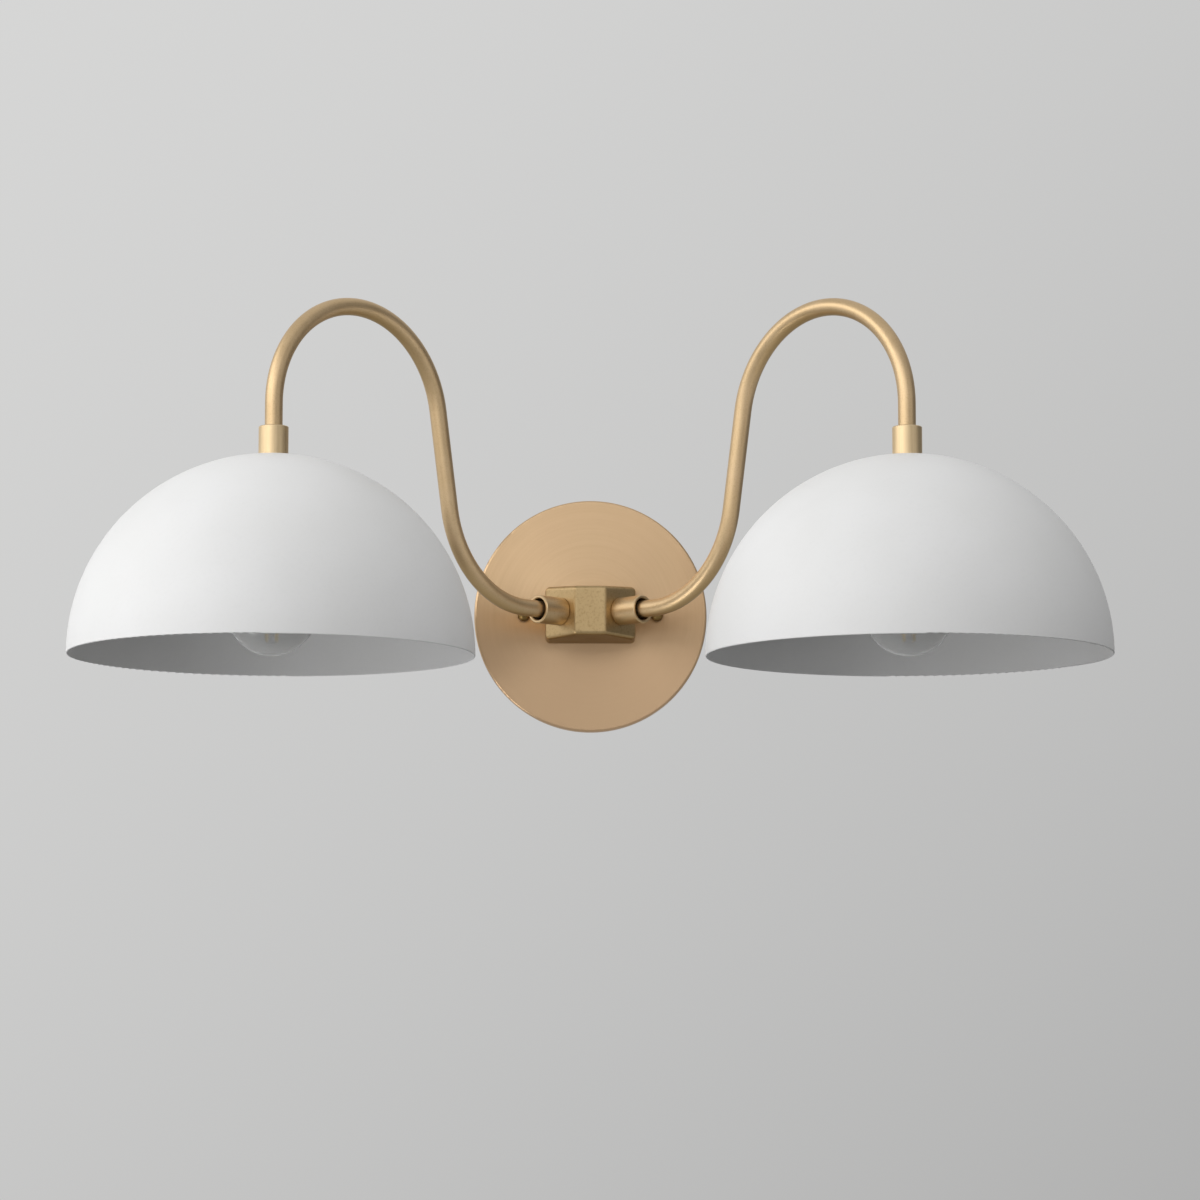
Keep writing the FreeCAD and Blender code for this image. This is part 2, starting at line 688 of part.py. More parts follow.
def lamp_tip():
    """The centre contact of the lamp, a low cap of a ball."""
    ball_r = (LAMP_TIP_R ** 2 + LAMP_TIP_H ** 2) / (2 * LAMP_TIP_H)
    ball = Part.makeSphere(ball_r, Vector(0, 0, LAMP_TIP_Z - ball_r))
    return on_shade_axis(ball.common(rod(LAMP_TIP_R, Vector(0, 0, INSULATOR_TOP_Z), Z, LAMP_TIP_H)))


def stem():
    """The glass stem: a flare that closes the neck, drawn down to a slim post."""
    points = [
        (0, NECK_TOP_Z + GLASS_T),
        (NECK_R, NECK_TOP_Z + GLASS_T),
        (NECK_R, NECK_TOP_Z),
        (NECK_R - 2 * GLASS_T, NECK_TOP_Z),
        (STEM_R, NECK_TOP_Z - STEM_FLARE_H),
        (STEM_R, FILAMENT_HIGH_Z),
        (STEM_END_R, FILAMENT_HIGH_Z - STEM_R),
        (STEM_END_R, FILAMENT_LOW_Z + STEM_END_R),
        (0, FILAMENT_LOW_Z),
    ]
    return on_shade_axis(turned(points))


def filament_rays():
    """The level direction that each filament leans in."""
    turns = [(2 * k + 1) * math.pi / FILAMENT_COUNT for k in range(FILAMENT_COUNT)]
    return [Vector(math.cos(turn), math.sin(turn), 0) for turn in turns]


def filament_ends(ray):
    """Lower and upper end of the filament that leans along a ray."""
    low = ray * FILAMENT_END_R + Z * FILAMENT_LOW_Z
    high = ray * FILAMENT_TOP_R + Z * FILAMENT_HIGH_Z
    return low, high


def filaments():
    """Upright filament rods that lean out from the post."""
    rods = []
    for ray in filament_rays():
        low, high = filament_ends(ray)
        rods.append(rod(FILAMENT_R, low, high - low, (high - low).Length))
    return on_shade_axis(Part.Compound(rods))


def filament_wires():
    """A wire from the stem to the top of each filament, and a star that joins their feet."""
    hub_top = Vector(0, 0, FILAMENT_LOW_Z - THREAD_GAP)
    star = rod(WIRE_R, hub_top, -Z, hub_top.z - STAR_Z + WIRE_R)
    wires = []
    for ray in filament_rays():
        low, high = filament_ends(ray)
        lean = (high - low).normalize()
        root = ray * STEM_R + Z * (high.z + STEM_R)
        end = high + lean * (WIRE_R + FILAMENT_R)
        wires.append(rod(WIRE_R, root, end - root, (end - root).Length))
        star = star.fuse(rod(WIRE_R, Vector(0, 0, STAR_Z), ray, FILAMENT_END_R))
    return on_shade_axis(Part.Compound([star] + wires))


# ---------------------------------------------------------------- write every sub-part

os.makedirs("parts", exist_ok=True)

write("canopy", canopy())
write("wall_bracket", bracket())
write("canopy_studs", Part.Compound([stud(), mirrored(stud())]))
write("ground_screw", ground_screw())
write_pair("ball_nut", ball_nut())

write("hub", hub())
write("hub_nipple", hub_nipple())
write("hub_washer", hub_washer())
write("hub_nut", hub_nut())

write_pair("arm_sleeve", sleeve())
write_pair("arm", arm())
write_pair("shade_collar", collar())
write_pair("shade", shade())
write_pair("shade_nipple", shade_nipple())
write_pair("shade_washer", shade_washer())
write_pair("shade_nut", shade_nut())

write_pair("socket_hickey", hickey())
write_pair("socket_screws", socket_screws())
write_pair("socket_body", socket_body())
write_pair("socket_shell", socket_shell())
write_pair("socket_contact", socket_contact())

write_pair("lamp_globe", globe())
write_pair("lamp_base", lamp_base())
write_pair("lamp_insulator", lamp_insulator())
write_pair("lamp_tip", lamp_tip())
write_pair("lamp_stem", stem())
write_pair("lamp_filaments", filaments())
write_pair("lamp_wires", filament_wires())
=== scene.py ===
import math

import bmesh
import bpy
from mathutils import Matrix, Vector


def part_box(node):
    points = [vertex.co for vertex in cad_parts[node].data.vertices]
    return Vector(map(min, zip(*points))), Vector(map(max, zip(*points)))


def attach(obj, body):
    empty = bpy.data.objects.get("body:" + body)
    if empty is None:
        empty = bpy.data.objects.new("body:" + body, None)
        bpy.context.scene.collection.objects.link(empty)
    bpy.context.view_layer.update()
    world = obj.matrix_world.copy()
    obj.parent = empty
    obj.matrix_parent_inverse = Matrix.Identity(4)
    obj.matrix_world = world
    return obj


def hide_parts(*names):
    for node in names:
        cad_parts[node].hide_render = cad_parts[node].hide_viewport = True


# Double arm wall sconce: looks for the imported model. Metres, in the model's own frame:
# the wall is the plane y = 0, the sconce stands out towards -Y, and +Z is up.

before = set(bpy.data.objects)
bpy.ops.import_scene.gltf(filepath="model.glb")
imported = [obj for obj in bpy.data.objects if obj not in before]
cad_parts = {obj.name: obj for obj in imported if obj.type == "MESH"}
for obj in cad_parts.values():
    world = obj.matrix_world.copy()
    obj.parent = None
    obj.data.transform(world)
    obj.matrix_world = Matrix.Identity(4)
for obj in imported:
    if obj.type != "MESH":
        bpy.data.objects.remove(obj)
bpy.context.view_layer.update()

MM = 0.001
SIDES = ("left", "right")

# ---------------------------------------------------------------- sizes of the modelled detail

# screw thread of the lamp bases and of the shells that they run in
LAMP_PITCH = 3.6 * MM
LAMP_THREAD_DEPTH = 0.7 * MM
LAMP_BASE_WALL = 0.5 * MM
LAMP_SKIRT_H = 3.0 * MM
LAMP_SKIRT_GAP = 0.4 * MM
LAMP_SHOULDER_H = 3.0 * MM
LAMP_SHOULDER_STEP_IN = 0.6 * MM
LAMP_SHOULDER_STEP_UP = 0.8 * MM
LAMP_SHOULDER_TOP_R = 8.0 * MM
SHELL_WALL = 0.4 * MM
SHELL_WAVE = 0.2 * MM

# machine thread of the canopy studs
STUD_PITCH = 0.7 * MM
STUD_THREAD_DEPTH = 0.36 * MM

# how finely the threads are cut
LAMP_AROUND = 96
STUD_AROUND = 40
STEPS_PER_TURN = 12

# ---------------------------------------------------------------- finishes

# sockets of a Mix node that mixes colours
MIX_SHARE = 0
MIX_A = 6
MIX_B = 7
MIX_RESULT = 2

BEVEL_SAMPLES = 6
EDGE_HIGHLIGHT_LIFT = 1.6
SPOTS_TO_GRAIN = 0.55


class Finish:
    """A material with short names for the nodes that the finishes share."""

    def __init__(self, name):
        self.material = bpy.data.materials.new(name)
        self.material.use_nodes = True
        self.nodes = self.material.node_tree.nodes
        self.links = self.material.node_tree.links
        self.shader = self.nodes["Principled BSDF"]
        self.place = self.nodes.new("ShaderNodeTexCoord").outputs["Object"]

    def feed(self, socket, value):
        """Links another socket into this one, or writes a plain value on it."""
        if isinstance(value, bpy.types.NodeSocket):
            self.links.new(value, socket)
        else:
            socket.default_value = value

    def node(self, kind, inputs=(), **settings):
        """A shader node with its settings made and its inputs fed."""
        made = self.nodes.new("ShaderNode" + kind)
        for key, value in settings.items():
            setattr(made, key, value)
        for key, value in dict(inputs).items():
            self.feed(made.inputs[key], value)
        return made

    def set(self, **values):
        """Writes the shader's own sockets: an underscore in a name stands for a space."""
        for key, value in values.items():
            self.feed(self.shader.inputs[key.replace("_", " ")], value)

    def calc(self, operation, a, b=0.0, clamp=False):
        return self.node("Math", {0: a, 1: b}, operation=operation, use_clamp=clamp).outputs[0]

    def noise(self, scale, detail=3.0, roughness=0.55, place=None):
        inputs = {"Vector": place or self.place, "Scale": scale, "Detail": detail, "Roughness": roughness}
        return self.node("TexNoise", inputs).outputs["Fac"]

    def ranged(self, value, span, to=(0.0, 1.0)):
        """The value with the span's two ends moved to the two given, and held between them."""
        inputs = {"Value": value, "From Min": span[0], "From Max": span[1], "To Min": to[0], "To Max": to[1]}
        return self.node("MapRange", inputs).outputs["Result"]

    def mixed(self, share, a, b):
        """Colour a where share is 0, colour b where it is 1."""
        made = self.node("Mix", {MIX_SHARE: share}, data_type="RGBA")
        for socket, value in ((made.inputs[MIX_A], a), (made.inputs[MIX_B], b)):
            self.feed(socket, (*value, 1.0) if isinstance(value, tuple) else value)
        return made.outputs[MIX_RESULT]

    def stretched(self, scales):
        """The place with each axis multiplied, for grain that runs one way."""
        return self.node("Mapping", {"Vector": self.place, "Scale": scales}).outputs["Vector"]

    def bump(self, height, distance, strength, under=None):
        """A normal for the height, laid over the one given, if any."""
        made = self.node("Bump", {"Height": height, "Distance": distance, "Strength": strength})
        if under is not None:
            self.feed(made.inputs["Normal"], under)
        return made.outputs["Normal"]

    def edges(self, radius, span=(0.02, 0.2)):
        """1 on edges sharper than the radius, 0 on flats and wide curves."""
        rounded = self.node("Bevel", {"Radius": radius}, samples=BEVEL_SAMPLES).outputs["Normal"]
        plain = self.node("NewGeometry").outputs["Normal"]
        across = self.node("VectorMath", {0: rounded, 1: plain}, operation="DOT_PRODUCT").outputs["Value"]
        return self.ranged(self.calc("SUBTRACT", 1.0, across), span)

    def split(self, vector):
        return self.node("SeparateXYZ", {0: vector}).outputs

    def joined(self, x, y, z):
        return self.node("CombineXYZ", {0: x, 1: y, 2: z}).outputs[0]

    def brushed_round(self, axis):
        """The tangent that lets the shader's gloss run round an axis of the piece."""
        return self.node("Tangent", direction_type="RADIAL", axis=axis).outputs["Tangent"]


def satin_brass():
    """The canopy: light brass brushed in circles round its centre, with painted shade making it darker and
    pinker low down and a painted highlight on its edges.
    """
    dark = (0.62, 0.43, 0.25)
    light = (0.67, 0.475, 0.28)
    clouded = (0.65, 0.43, 0.26)
    streaked = (0.76, 0.57, 0.37)
    painted_shade_low = (0.51, 0.345, 0.21)
    polished = (0.88, 0.68, 0.44)
    fade_from_z = 12.0 * MM
    fade_to_z = -28.0 * MM
    change_round = 1.2
    change_outwards = 1.0 / MM
    f = Finish("satin_brass")
    x, _, z = f.split(f.place)
    flat = f.joined(x, 0.0, z)
    radius = f.node("VectorMath", {0: flat}, operation="LENGTH").outputs["Value"]
    ray = f.node("VectorMath", {0: flat}, operation="NORMALIZE").outputs["Vector"]
    ray_x, _, ray_z = f.split(ray)
    swept = f.joined(f.calc("MULTIPLY", ray_x, change_round), f.calc("MULTIPLY", radius, change_outwards),
                     f.calc("MULTIPLY", ray_z, change_round))
    fine = f.noise(scale=5.0, detail=4.0, roughness=0.7, place=swept)
    broad = f.noise(scale=0.55, detail=3.0, roughness=0.6, place=swept)
    cloud = f.noise(scale=16.0)
    tone = f.mixed(f.ranged(broad, span=(0.3, 0.7)), dark, light)
    tone = f.mixed(f.ranged(cloud, span=(0.35, 0.65), to=(0.0, 0.35)), tone, clouded)
    tone = f.mixed(f.ranged(fine, span=(0.35, 0.75), to=(0.0, 0.2)), tone, streaked)
    # Painted shade: the lower part of the canopy is mixed towards a darker, pinker tone.
    tone = f.mixed(f.ranged(z, span=(fade_from_z, fade_to_z), to=(0.0, 0.75)), tone, painted_shade_low)
    # Painted highlight: every edge of the canopy is lightened towards a polished tone.
    tone = f.mixed(f.calc("MULTIPLY", f.edges(1.2 * MM), 0.6), tone, polished)
    marks = f.calc("ADD", fine, f.calc("MULTIPLY", broad, 0.5))
    f.set(Base_Color=tone, Metallic=1.0, Roughness=f.ranged(marks, span=(0.5, 1.1), to=(0.30, 0.42)))
    f.set(Anisotropic=0.75, Anisotropic_Rotation=0.25, Tangent=f.brushed_round("Y"))
    f.set(Normal=f.bump(fine, distance=0.02 * MM, strength=0.5))
    return f.material


def aged_brass(name, light, dark, patina_and_shade, fineness, depth, rough, edge_highlight):
    """Cast or drawn brass left to tone down: fine grain and darker spots, with painted shade darkening it
    underneath and a painted highlight lightening its edges.
    """
    f = Finish(name)
    mottle = f.noise(scale=38.0, detail=4.0, roughness=0.6)
    grain = f.noise(scale=fineness, detail=3.0, roughness=0.6)
    spots = f.noise(scale=fineness * SPOTS_TO_GRAIN, detail=2.0, roughness=0.5)
    tone = f.mixed(f.ranged(mottle, span=(0.25, 0.75)), dark, light)
    tone = f.mixed(f.ranged(spots, span=(0.5, 0.75), to=(0.0, depth)), tone, patina_and_shade)
    tone = f.mixed(f.ranged(grain, span=(0.4, 0.8), to=(0.0, depth)), tone, light)
    upwards = f.split(f.node("NewGeometry").outputs["Normal"])[2]
    # Painted shade: faces that point down are mixed towards the darkest tone.
    tone = f.mixed(f.ranged(upwards, span=(-0.3, -0.95), to=(0.0, 0.85)), tone, patina_and_shade)
    if edge_highlight:
        # Painted highlight: the edges are lightened towards a brighter copy of the light tone.
        worn = tuple(min(1.0, c * EDGE_HIGHLIGHT_LIFT) for c in light)
        edges = f.edges(0.7 * MM, span=(0.05, 0.25))
        tone = f.mixed(f.calc("MULTIPLY", edges, edge_highlight), tone, worn)
    marks = f.calc("ADD", f.calc("MULTIPLY", mottle, 0.6), f.calc("MULTIPLY", grain, 0.4))
    f.set(Base_Color=tone, Metallic=1.0, Roughness=f.ranged(marks, span=(0.35, 0.65), to=rough))
    waves = f.bump(mottle, distance=0.1 * MM, strength=0.05)
    f.set(Normal=f.bump(grain, distance=0.01 * MM, strength=depth, under=waves))
    return f.material


def plain_brass():
    """Turned brass, brushed along the collar, with its edges polished by handling."""
    dark = (0.66, 0.49, 0.28)
    light = (0.78, 0.61, 0.38)
    mottled = (0.66, 0.49, 0.29)
    polished = (0.94, 0.82, 0.62)
    f = Finish("plain_brass")
    along = f.noise(scale=1.0, detail=3.0, roughness=0.6, place=f.stretched((2400.0, 2400.0, 25.0)))
    mottle = f.noise(scale=70.0)
    tone = f.mixed(f.ranged(along, span=(0.3, 0.7)), dark, light)
    tone = f.mixed(f.ranged(mottle, span=(0.4, 0.7), to=(0.0, 0.3)), tone, mottled)
    tone = f.mixed(f.calc("MULTIPLY", f.edges(0.8 * MM), 0.7), tone, polished)
    f.set(Base_Color=tone, Metallic=1.0, Roughness=f.ranged(along, span=(0.3, 0.7), to=(0.30, 0.40)))
    f.set(Anisotropic=0.6, Tangent=f.brushed_round("Z"))
    f.set(Normal=f.bump(along, distance=0.015 * MM, strength=0.3))
    return f.material


def white_enamel():
    """Matt white powder coat with a faint even texture."""
    dull = (0.83, 0.83, 0.825)
    white = (0.86, 0.86, 0.86)
    peel_shade = (0.76, 0.76, 0.755)
    f = Finish("white_enamel")
    peel = f.noise(scale=520.0, detail=3.0, roughness=0.5)
    drift = f.noise(scale=14.0, detail=2.0)
    tone = f.mixed(f.ranged(drift, span=(0.35, 0.65)), dull, white)
    # Painted shade: the low spots of the peel texture are darkened.
    tone = f.mixed(f.ranged(peel, span=(0.3, 0.5), to=(0.12, 0.0)), tone, peel_shade)
    f.set(Base_Color=tone, Roughness=f.ranged(peel, span=(0.3, 0.7), to=(0.5, 0.6)))
    f.set(Specular_IOR_Level=0.35, Normal=f.bump(peel, distance=0.05 * MM, strength=0.12))
    return f.material


def zinc_steel():
    """Zinc plated steel: pale spangle with fine scuffs."""
    dark = (0.50, 0.51, 0.52)
    light = (0.66, 0.665, 0.66)
    yellowed = (0.62, 0.58, 0.47)
    polished = (0.8, 0.8, 0.8)
    f = Finish("zinc_steel")
    cells = f.node("TexVoronoi", {"Vector": f.place, "Scale": 420.0}).outputs["Color"]
    spangle = f.split(cells)[0]
    scuff = f.noise(scale=1.0, detail=4.0, roughness=0.7, place=f.stretched((180.0, 1200.0, 1600.0)))
    stain = f.noise(scale=60.0)
    tone = f.mixed(spangle, dark, light)
    tone = f.mixed(f.ranged(stain, span=(0.4, 0.7), to=(0.0, 0.35)), tone, yellowed)
    tone = f.mixed(f.calc("MULTIPLY", f.edges(0.6 * MM), 0.5), tone, polished)
    f.set(Base_Color=tone, Metallic=1.0, Roughness=f.ranged(scuff, span=(0.3, 0.7), to=(0.28, 0.48)))
    f.set(Normal=f.bump(scuff, distance=0.03 * MM, strength=0.4))
    return f.material


def green_steel():
    """The ground screw: green dip over steel, worn off its edges."""
    dark = (0.03, 0.22, 0.08)
    light = (0.06, 0.34, 0.13)
    bare = (0.6, 0.6, 0.58)
    f = Finish("green_steel")
    grain = f.noise(scale=700.0)
    blotch = f.noise(scale=160.0)
    worn = f.calc("MULTIPLY", f.edges(0.5 * MM), f.ranged(grain, span=(0.4, 0.6)), clamp=True)
    tone = f.mixed(f.ranged(blotch, span=(0.35, 0.65)), dark, light)
    f.set(Base_Color=f.mixed(worn, tone, bare), Metallic=f.ranged(worn, span=(0.0, 1.0), to=(0.35, 1.0)))
    f.set(Roughness=f.ranged(grain, span=(0.3, 0.7), to=(0.3, 0.5)))
    f.set(Normal=f.bump(grain, distance=0.02 * MM, strength=0.4))
    return f.material


def porcelain():
    """White glaze with a few pin holes and a warm cast."""
    warm = (0.80, 0.79, 0.75)
    white = (0.86, 0.85, 0.82)
    pinhole = (0.45, 0.40, 0.33)
    f = Finish("porcelain")
    speck = f.ranged(f.noise(scale=1300.0, detail=2.0), span=(0.68, 0.74))
    cast = f.noise(scale=45.0)
    gloss = f.noise(scale=90.0)
    lumps = f.noise(scale=150.0, detail=2.0)
    tone = f.mixed(f.ranged(cast, span=(0.35, 0.65)), warm, white)
    tone = f.mixed(f.calc("MULTIPLY", speck, 0.5), tone, pinhole)
    f.set(Base_Color=tone, Roughness=f.ranged(gloss, span=(0.3, 0.7), to=(0.12, 0.2)))
    f.set(Coat_Weight=0.4, Normal=f.bump(lumps, distance=0.06 * MM, strength=0.25))
    return f.material


def pressed_metal(name, light, dark, rough):
    """Thin rolled metal with marks that run round it."""
    f = Finish(name)
    marks = f.noise(scale=1.0, detail=3.0, roughness=0.7, place=f.stretched((90.0, 90.0, 3000.0)))
    smear = f.noise(scale=110.0)
    tone = f.mixed(f.ranged(f.calc("ADD", marks, smear), span=(0.75, 1.25)), dark, light)
    f.set(Base_Color=tone, Metallic=1.0, Roughness=f.ranged(smear, span=(0.3, 0.7), to=rough))
    f.set(Normal=f.bump(marks, distance=0.02 * MM, strength=0.3))
    return f.material


def clear_glass():
    """Blown glass with the faint waves of its making and a light haze."""
    grey = (0.91, 0.915, 0.915)
    clear = (0.94, 0.94, 0.935)
    f = Finish("clear_glass")
    wave = f.noise(scale=60.0, detail=2.0)
    haze = f.noise(scale=300.0)
    f.set(Base_Color=f.mixed(f.ranged(wave, span=(0.3, 0.7)), grey, clear))
    f.set(Roughness=f.ranged(haze, span=(0.3, 0.7), to=(0.14, 0.2)))
    f.set(IOR=1.46, Transmission_Weight=0.8, Normal=f.bump(wave, distance=0.2 * MM, strength=0.1))
    return f.material


def dark_glass():
    """The fused insulator round the lamp's contact."""
    black = (0.015, 0.015, 0.02)
    smoke = (0.05, 0.045, 0.06)
    f = Finish("dark_glass")
    grain = f.noise(scale=800.0)
    f.set(Base_Color=f.mixed(grain, black, smoke))
    f.set(Roughness=f.ranged(grain, span=(0.3, 0.7), to=(0.08, 0.2)))
    f.set(Normal=f.bump(grain, distance=0.03 * MM, strength=0.3))
    return f.material


def solder():
    """The dull, slightly lumpy contact of the lamp."""
    dull = (0.36, 0.36, 0.35)
    bright = (0.62, 0.62, 0.6)
    f = Finish("solder")
    lumps = f.noise(scale=500.0)
    f.set(Base_Color=f.mixed(lumps, dull, bright), Metallic=1.0)
    f.set(Roughness=f.ranged(lumps, span=(0.3, 0.7), to=(0.3, 0.5)))
    f.set(Normal=f.bump(lumps, distance=0.15 * MM, strength=0.5))
    return f.material


def filament_coat():
    """The granular yellow coat of the filament rods."""
    ochre = (0.62, 0.40, 0.10)
    yellow = (0.86, 0.64, 0.24)
    f = Finish("filament_coat")
    grains = f.noise(scale=2600.0)
    f.set(Base_Color=f.mixed(grains, ochre, yellow))
    f.set(Roughness=f.ranged(grains, span=(0.3, 0.7), to=(0.55, 0.75)))
    f.set(Normal=f.bump(grains, distance=0.05 * MM, strength=0.5))
    return f.material


def arm_brass(name, depth, rough, edge_highlight):
    """The drawn brass of the arms, and of the sleeves, whose mouths get a painted highlight."""
    return aged_brass(name, light=(0.70, 0.52, 0.315), dark=(0.61, 0.44, 0.245), patina_and_shade=(0.34, 0.22, 0.08),
                      fineness=2200.0, depth=depth, rough=rough, edge_highlight=edge_highlight)


ARM_BRASS = arm_brass("aged_brass", depth=0.25, rough=(0.35, 0.45), edge_highlight=0.0)
SLEEVE_BRASS = arm_brass("sleeve_brass", depth=0.3, rough=(0.34, 0.44), edge_highlight=0.8)
HUB_BRASS = aged_brass("cast_brass", light=(0.53, 0.385, 0.205), dark=(0.45, 0.32, 0.16),
                       patina_and_shade=(0.22, 0.13, 0.035), fineness=1300.0, depth=0.4, rough=(0.34, 0.46), edge_highlight=0.8)
# Painted shade: the ball nuts get a much darker brass than the other brass parts.
SHADED_NUT_BRASS = aged_brass("shaded_nut_brass", light=(0.30, 0.20, 0.075), dark=(0.22, 0.14, 0.05),
                       patina_and_shade=(0.12, 0.07, 0.02), fineness=1500.0, depth=0.5, rough=(0.36, 0.48), edge_highlight=0.8)
PLAIN_BRASS = plain_brass()
ENAMEL = white_enamel()
ZINC = zinc_steel()
PORCELAIN = porcelain()
SHELL_BRASS = pressed_metal("shell_brass", light=(0.80, 0.60, 0.32), dark=(0.62, 0.44, 0.22),
                            rough=(0.18, 0.34))
NICKEL = pressed_metal("nickel", light=(0.80, 0.79, 0.76), dark=(0.60, 0.59, 0.57), rough=(0.14, 0.3))
GLASS = clear_glass()
FILAMENT_COAT = filament_coat()
DARK_GLASS = dark_glass()
SOLDER = solder()

SINGLE_FINISHES = {
    "canopy": satin_brass(),
    "wall_bracket": ZINC,
    "canopy_studs": ZINC,
    "ground_screw": green_steel(),
    "hub": HUB_BRASS,
    "hub_nipple": ZINC,
    "hub_washer": ZINC,
    "hub_nut": ZINC,
}
PAIR_FINISHES = {
    "ball_nut": SHADED_NUT_BRASS,
    "arm_sleeve": SLEEVE_BRASS,
    "arm": ARM_BRASS,
    "shade_collar": PLAIN_BRASS,
    "shade": ENAMEL,
    "shade_nipple": ZINC,
    "shade_washer": ZINC,
    "shade_nut": ZINC,
    "socket_hickey": ZINC,
    "socket_screws": ZINC,
    "socket_body": PORCELAIN,
    "socket_shell": SHELL_BRASS,
    "socket_contact": SHELL_BRASS,
    "lamp_globe": GLASS,
    "lamp_base": NICKEL,
    "lamp_insulator": DARK_GLASS,
    "lamp_tip": SOLDER,
    "lamp_stem": GLASS,
    "lamp_filaments": FILAMENT_COAT,
    "lamp_wires": NICKEL,
}


def dress(node, material):
    """Gives a node of the model its finish."""
    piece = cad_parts[node]
    piece.data.materials.clear()
    piece.data.materials.append(material)


for node, material in SINGLE_FINISHES.items():
    dress(node, material)
for part, material in PAIR_FINISHES.items():
    for side in SIDES:
        dress(side + "_" + part, material)

# ---------------------------------------------------------------- threaded pieces


def shown(name, shape):
    """A scene object made from a bmesh, which is freed."""
    mesh = bpy.data.meshes.new(name)
    shape.to_mesh(mesh)
    shape.free()
    made = bpy.data.objects.new(name, mesh)
    bpy.context.scene.collection.objects.link(made)
    return made


def thread_wave(height, turn, pitch):
    """0 in the root and 1 on the crest of a right-hand thread, at an angle given in turns."""
    return 0.5 - 0.5 * math.cos(2 * math.pi * (height / pitch - turn))


def skinned(name, rings, around, pitch, depth, closed):
    """A smooth skin over rings (radius, height, share of the thread). A closed one joins last to first."""
    shape = bmesh.new()
    rows = []
    for radius, height, share in rings:
        row = []
        for k in range(around):
            turn = k / around
            r = radius + share * depth * thread_wave(height, turn, pitch)
            angle = 2 * math.pi * turn
            row.append(shape.verts.new((r * math.cos(angle), r * math.sin(angle), height)))
        rows.append(row)
    pairs = list(zip(rows, rows[1:]))
    if closed:
        pairs.append((rows[-1], rows[0]))
    for low, high in pairs:
        for k in range(around):
            n = (k + 1) % around
            shape.faces.new((low[k], low[n], high[n], high[k]))
    if not closed:
        shape.faces.new(list(reversed(rows[0])))
        shape.faces.new(rows[-1])
    bmesh.ops.recalc_face_normals(shape, faces=shape.faces)
    piece = shown(name, shape)
    for face in piece.data.polygons:
        face.use_smooth = True
    return piece


def merged(name, pieces):
    """One piece from several meshes."""
    shape = bmesh.new()
    for piece in pieces:
        shape.from_mesh(piece.data)
        bpy.data.objects.remove(piece)
    return shown(name, shape)


def threaded_rings(radius, low, high, pitch):
    """Rings up a thread, which fades in and out over half a turn at each end."""
    fade = pitch / 2
    steps = round((high - low) / pitch * STEPS_PER_TURN)
    rings = []
    for k in range(steps + 1):
        height = low + (high - low) * k / steps
        share = min(1.0, (height - low) / fade, (high - height) / fade)
        rings.append((radius, height, max(0.0, share)))
    return rings


def walled(outer, wall):
    """The outer rings and, back down inside them, the same ones less the wall."""
    return outer + [(radius - wall, height, share) for radius, height, share in reversed(outer)]


def placed(piece, centre, node, body, material):
    """Puts a modelled piece where its node is, with the node's body, slot and finish."""
    piece.location = centre
    piece.data.materials.append(material)
    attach(piece, body)
    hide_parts(node)


def foot(node):
    """The middle of the underside of a node's box."""
    low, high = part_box(node)
    centre = (low + high) / 2
    centre.z = low.z
    return centre


def lamp_base(side):
    """The rolled screw base: a skirt, a helical thread and a shoulder, all of one wall."""
    node = side + "_lamp_base"
    low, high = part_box(node)
    radius = (high.x - low.x) / 2
    root = radius - LAMP_THREAD_DEPTH
    length = high.z - low.z
    thread_low = LAMP_SKIRT_H
    thread_high = length - LAMP_SHOULDER_H
    outer = [(radius, 0.0, 0.0), (radius, thread_low - LAMP_SKIRT_GAP, 0.0)]
    outer += threaded_rings(root, thread_low, thread_high, LAMP_PITCH)
    outer.append((root - LAMP_SHOULDER_STEP_IN, thread_high + LAMP_SHOULDER_STEP_UP, 0.0))
    outer.append((LAMP_SHOULDER_TOP_R, length, 0.0))
    rings = walled(outer, LAMP_BASE_WALL)
    piece = skinned(side + "_lamp_thread", rings, LAMP_AROUND, LAMP_PITCH, LAMP_THREAD_DEPTH, closed=True)
    placed(piece, foot(node), node, side + "_lamp", NICKEL)


def socket_shell(side):
    """The screw shell in the porcelain: the lamp's thread pressed lightly into a thin tube."""
    node = side + "_socket_shell"
    low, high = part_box(node)
    radius = (high.x - low.x) / 2
    rings = walled(threaded_rings(radius, 0.0, high.z - low.z, LAMP_PITCH), SHELL_WALL)
    piece = skinned(side + "_screw_shell", rings, LAMP_AROUND, LAMP_PITCH, SHELL_WAVE, closed=True)
    placed(piece, foot(node), node, "fixture", SHELL_BRASS)


def canopy_studs():
    """Two threaded studs, joined into one piece as the node is."""
    low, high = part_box("canopy_studs")
    radius = (high.z - low.z) / 2
    length = high.y - low.y
    rings = threaded_rings(radius - STUD_THREAD_DEPTH, 0.0, length, STUD_PITCH)
    outwards = Vector((0, -1, 0)).to_track_quat("Z", "Y").to_matrix().to_4x4()
    studs = []
    for x in (low.x + radius, high.x - radius):
        stud = skinned("stud", rings, STUD_AROUND, STUD_PITCH, STUD_THREAD_DEPTH, closed=False)
        stud.data.transform(outwards)
        stud.data.transform(Matrix.Translation((x, high.y, (low.z + high.z) / 2)))
        studs.append(stud)
    piece = merged("threaded_studs", studs)
    placed(piece, Vector(), "canopy_studs", "fixture", ZINC)


for side in SIDES:
    lamp_base(side)
    socket_shell(side)
canopy_studs()

# ---------------------------------------------------------------- floor, light and camera

